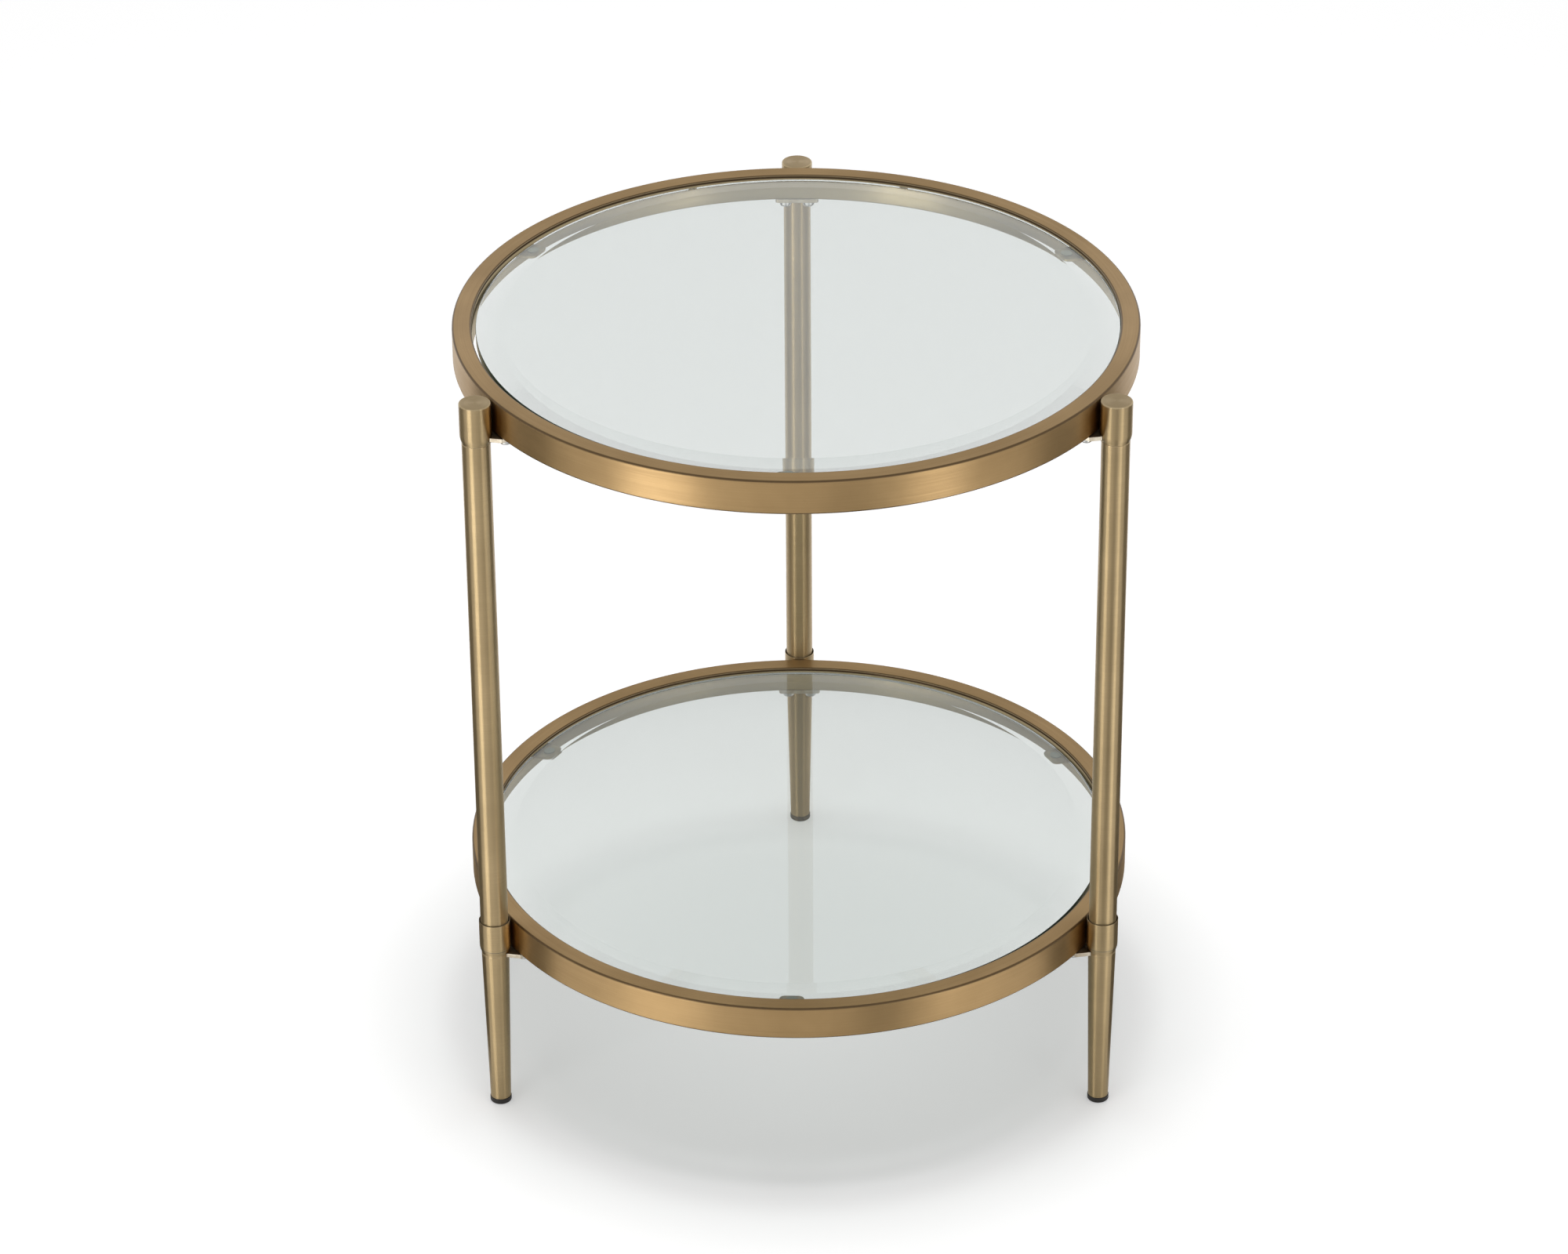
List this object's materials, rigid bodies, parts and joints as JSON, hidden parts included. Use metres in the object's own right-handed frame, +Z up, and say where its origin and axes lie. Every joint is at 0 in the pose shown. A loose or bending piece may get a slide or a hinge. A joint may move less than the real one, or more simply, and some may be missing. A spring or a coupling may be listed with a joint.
{
  "type": "two-tier round glass side table",
  "caption": "Round side table with bevelled glass top and lower glass shelf set in brushed brass hoops on turned posts with tapered legs.",
  "frame": {"origin": "middle of the bounding box at floor level; the hoops' axis stands 10.75 mm in front of it", "axes": "+Z up, +Y towards the back post, +X to the right for someone facing the front"},
  "size_m": [0.457, 0.4785, 0.5485],
  "materials": {
    "hoop_brass": "steel plated in warm antique brass and brushed round the hoop",
    "post_brass": "steel plated in olive antique brass and brushed round the post",
    "zinc_screw": "bright zinc plating",
    "inner_steel": "plain steel, out of sight",
    "foot_plastic": "black moulded plastic",
    "clear_pad": "clear soft silicone",
    "clear_glass": "clear tempered glass with a faint green tint and a bevelled rim"
  },
  "bodies": {
    "frame": {"upper_ring": "hoop_brass", "lower_ring": "hoop_brass", "upper_glass_tab_front": "hoop_brass", "upper_glass_tab_left": "hoop_brass", "upper_glass_tab_right": "hoop_brass", "lower_glass_tab_front": "hoop_brass", "lower_glass_tab_left": "hoop_brass", "lower_glass_tab_right": "hoop_brass", "upper_tab_welds": "hoop_brass", "lower_tab_welds": "hoop_brass", "post_cap_back": "post_brass", "post_cap_left": "post_brass", "post_cap_right": "post_brass", "post_tube_back": "post_brass", "post_tube_left": "post_brass", "post_tube_right": "post_brass", "mid_sleeve_back": "post_brass", "mid_sleeve_left": "post_brass", "mid_sleeve_right": "post_brass", "tapered_leg_back": "post_brass", "tapered_leg_left": "post_brass", "tapered_leg_right": "post_brass", "upper_bracket_back": "post_brass", "upper_bracket_left": "post_brass", "upper_bracket_right": "post_brass", "lower_bracket_back": "post_brass", "lower_bracket_left": "post_brass", "lower_bracket_right": "post_brass", "upper_bracket_welds": "post_brass", "lower_bracket_welds": "post_brass", "upper_bracket_screws": "zinc_screw", "lower_bracket_screws": "zinc_screw", "upper_ring_inserts": "inner_steel", "lower_ring_inserts": "inner_steel", "tube_insert_back": "inner_steel", "tube_insert_left": "inner_steel", "tube_insert_right": "inner_steel", "joint_stud_back": "inner_steel", "joint_stud_left": "inner_steel", "joint_stud_right": "inner_steel", "leg_plug_back": "inner_steel", "leg_plug_left": "inner_steel", "leg_plug_right": "inner_steel", "foot_glide_back": "foot_plastic", "foot_glide_left": "foot_plastic", "foot_glide_right": "foot_plastic", "upper_glass_pads": "clear_pad", "lower_glass_pads": "clear_pad"},
    "upper_pane": {"upper_glass": "clear_glass"},
    "lower_pane": {"lower_glass": "clear_glass"}
  },
  "joints": [
    {"name": "upper_pane_lift", "type": "slide", "parent": "frame", "child": "upper_pane", "axis": [0, 0, 1], "range_m": [0, 0.06]},
    {"name": "lower_pane_lift", "type": "slide", "parent": "frame", "child": "lower_pane", "axis": [0, 0, 1], "range_m": [0, 0.12]}
  ]
}
